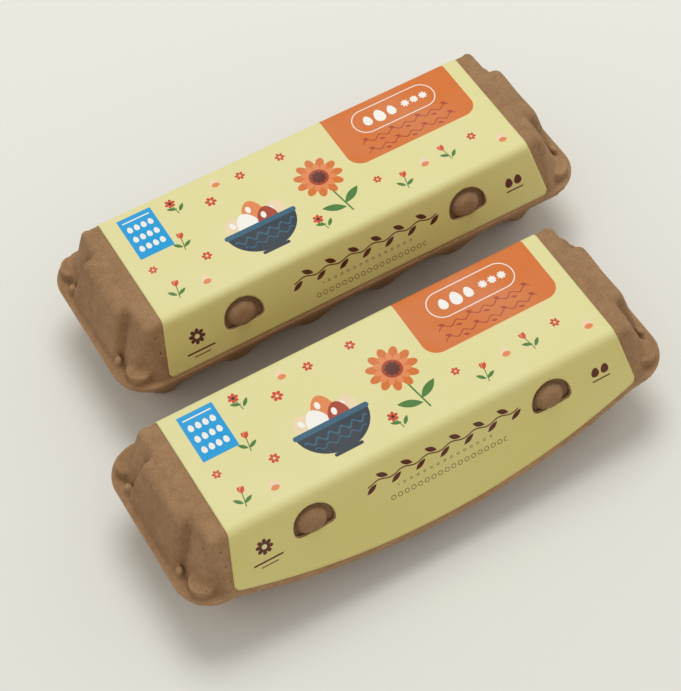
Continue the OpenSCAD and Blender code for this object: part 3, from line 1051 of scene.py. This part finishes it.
def print_scatter(p, low, high):
    """Small flowers, sprigs and eggs whose middles lie between low and high."""
    daisies = (
        (-76.0, 13.0, 3.0), (-56.0, -20.0, 3.4), (-33.0, -28.0, 3.0), (-7.0, -28.0, 3.0),
        (32.0, 16.0, 2.6), (94.0, 17.0, 2.8), (-106.0, 6.0, 2.6),
    )
    sprigs = (
        (-102.0, 31.0, 12, "tulip"), (-75.0, -22.0, -10, "daisy"), (-84.0, 3.0, 10, "tulip"),
        (-9.0, 32.0, -12, "daisy"), (44.0, 31.0, 12, "tulip"), (76.0, 26.0, -8, "tulip"),
    )
    eggs = ((-84.0, 27.0, 12), (-48.0, -31.0, -14), (61.0, 19.0, 10), (108.0, 27.0, -12))
    for x, t, size in daisies:
        if low < x < high:
            p.ink(p.daisy((x, t), size, 6, 15), RED)
            p.ink(p.oval((x, t), size * 0.27, size * 0.27), CREAM)
    for x, t, lean, bloom in sprigs:
        if low < x < high:
            sprig(p, x, t, lean, bloom)
    for x, t, turn in eggs:
        if low < x < high:
            shell = p.egg((x, t), 2.7, 3.4, turn)
            p.ink(shell, CREAM)
            p.ink(p.both(p.oval((x, t + 2.4), 2.6, 2.4), shell), PEACH)


def label_material(name, *motifs):
    """Satin paper printed with the given motifs."""
    p = Press("label_" + name, YELLOW)
    for motif in motifs:
        motif(p)
    tone = p.noise(p.sheet, 0.02, 2.0)
    lighter = p.math("MULTIPLY", p.band(tone, 0.35, 0.75), 0.05)
    p.feed(p.shader.inputs["Base Color"], p.mix(lighter, p.colour, WHITE))
    p.feed(p.shader.inputs["Roughness"], p.math("MULTIPLY_ADD", p.noise(p.sheet, 0.3, 3.0), 0.08, 0.46))
    p.shader.inputs["Specular IOR Level"].default_value = 0.22
    wrinkle = p.bump(p.noise(p.sheet, 0.035, 2.0), 0.0012, 0.3)
    fibre = p.bump(p.noise(p.sheet, 2.2, 3.0), 0.00004, 0.5, wrinkle)
    p.feed(p.shader.inputs["Normal"], fibre)
    return p.material


def label_materials():
    """One material for each stretch of the label, in the order that stretch_of counts."""
    ends = (-130.0,) + STRETCH_ENDS + (130.0,)
    cards = (print_blue_card, print_bowl, print_bloom, print_orange_card)
    made = []
    for i, card in enumerate(cards):
        low, high = ends[i], ends[i + 1]
        made.append(label_material(card.__name__, card, lambda p: print_scatter(p, low, high)))
    made.append(label_material("front", print_front, print_ends))
    return made


# Pieces

def build_carton(name, cover, dip, middle, materials):
    """Dresses one carton; each piece stands for the CAD node of the same name."""
    end = HALF_LEN + MARGIN
    front = -(HALF_WID + LEAN_K * dip + MARGIN)
    back = HALF_WID + MARGIN
    foot = RIM_Z - dip - MARGIN
    flap_end = FLAP_HALF + 4.0
    flap_back = -30.0
    pulp, button_pulp, paper = materials
    tray = pulp_piece(name + "_tray_pulp", lambda x, y, z: tray_field(x, y, z, dip),
                      (-end, front, -MARGIN), (end, back, POST_TOP + 6.0),
                      TRAY_STEP, middle, pulp)
    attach(tray, "trays")
    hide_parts(name + "_tray")
    flap = pulp_piece(name + "_lock_flap_pulp", lambda x, y, z: flap_field(x, y, z, dip),
                      (-flap_end, front - 2.0, foot), (flap_end, flap_back, FLAP_TOP + MARGIN),
                      FLAP_STEP, middle, button_pulp)
    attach(flap, "trays")
    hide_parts(name + "_lock_flap")
    lid = pulp_piece(name + "_lid_pulp", lambda x, y, z: lid_field(x, y, z, dip),
                     (-end, front, foot), (end, back, TOP_Z + MARGIN), LID_STEP, middle, pulp)
    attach(lid, cover)
    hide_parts(name + "_lid")
    label = label_piece(name + "_label_paper", dip, middle, paper)
    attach(label, cover)
    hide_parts(name + "_label")


# Studio

# The camera's place in metres, its angles in degrees, and its lens and sensor in millimetres
CAMERA_PLACE = (-0.309965, -0.594411, 0.968191)
CAMERA_YAW = 26.698
CAMERA_PITCH = 54.783
CAMERA_ROLL = -4.201
CAMERA_LENS = 107.82
CAMERA_SENSOR = 36.0

# The floor and the lights, in metres and watts
FLOOR_HALF = 6.0
FLOOR_WHITE = linear(236, 235, 227)
SKY_COLOUR = (1.0, 0.99, 0.97, 1.0)
SKY_STRENGTH = 0.6
KEY_PLACE = (0.4, 0.75, 2.4)
KEY_SIZE = 1.4
KEY_ENERGY = 26.0


def make_camera():
    """The camera at the photograph's place and angle."""
    yaw = math.radians(CAMERA_YAW)
    pitch = math.radians(CAMERA_PITCH)
    roll = math.radians(CAMERA_ROLL)
    ahead = Vector((math.sin(yaw) * math.cos(pitch), math.cos(yaw) * math.cos(pitch), -math.sin(pitch)))
    right = ahead.cross(Vector((0, 0, 1))).normalized()
    up = right.cross(ahead)
    right_rolled = math.cos(roll) * right + math.sin(roll) * up
    up_rolled = -math.sin(roll) * right + math.cos(roll) * up
    data = bpy.data.cameras.new("camera")
    data.sensor_fit = "HORIZONTAL"
    data.sensor_width = CAMERA_SENSOR
    data.lens = CAMERA_LENS
    camera = bpy.data.objects.new("camera", data)
    turn = Matrix((right_rolled, up_rolled, -ahead)).transposed().to_4x4()
    camera.matrix_world = Matrix.Translation(Vector(CAMERA_PLACE)) @ turn
    bpy.context.scene.collection.objects.link(camera)
    bpy.context.scene.camera = camera


def make_floor():
    """A pale matt sheet, which belongs to the studio and not to the part."""
    half = FLOOR_HALF
    mesh = bpy.data.meshes.new("floor")
    corners = [(-half, -half, 0.0), (half, -half, 0.0), (half, half, 0.0), (-half, half, 0.0)]
    mesh.from_pydata(corners, [], [(0, 1, 2, 3)])
    floor = bpy.data.objects.new("floor", mesh)
    bpy.context.scene.collection.objects.link(floor)
    g = Graph("floor_paper")
    g.shader.inputs["Base Color"].default_value = FLOOR_WHITE
    g.shader.inputs["Roughness"].default_value = 0.9
    g.shader.inputs["Specular IOR Level"].default_value = 0.15
    mesh.materials.append(g.material)


def make_key_light():
    """A round soft light that faces the middle of the floor."""
    data = bpy.data.lights.new("key", "AREA")
    data.shape = "DISK"
    data.size = KEY_SIZE
    data.energy = KEY_ENERGY
    light = bpy.data.objects.new("key", data)
    light.location = KEY_PLACE
    light.rotation_euler = (-Vector(KEY_PLACE)).to_track_quat("-Z", "Y").to_euler()
    bpy.context.scene.collection.objects.link(light)


def make_sky():
    """Even light from all sides."""
    world = bpy.data.worlds.new("studio")
    world.use_nodes = True
    background = world.node_tree.nodes["Background"]
    background.inputs["Color"].default_value = SKY_COLOUR
    background.inputs["Strength"].default_value = SKY_STRENGTH
    bpy.context.scene.world = world


bpy.context.scene.view_settings.view_transform = "Standard"
make_camera()
make_floor()
make_sky()
make_key_light()

materials = (
    pulp_material("pulp", *PULP_TONES),
    pulp_material("button_pulp", *BUTTON_TONES),
    label_materials(),
)
back_middle = (PAIR_X, PAIR_MIDDLE_Y + PAIR_Y, 0.0)
front_middle = (-PAIR_X, PAIR_MIDDLE_Y - PAIR_Y, 0.0)
build_carton("back", "back_cover", 0.0, back_middle, materials)
build_carton("front", "front_cover", FRONT_DIP, front_middle, materials)
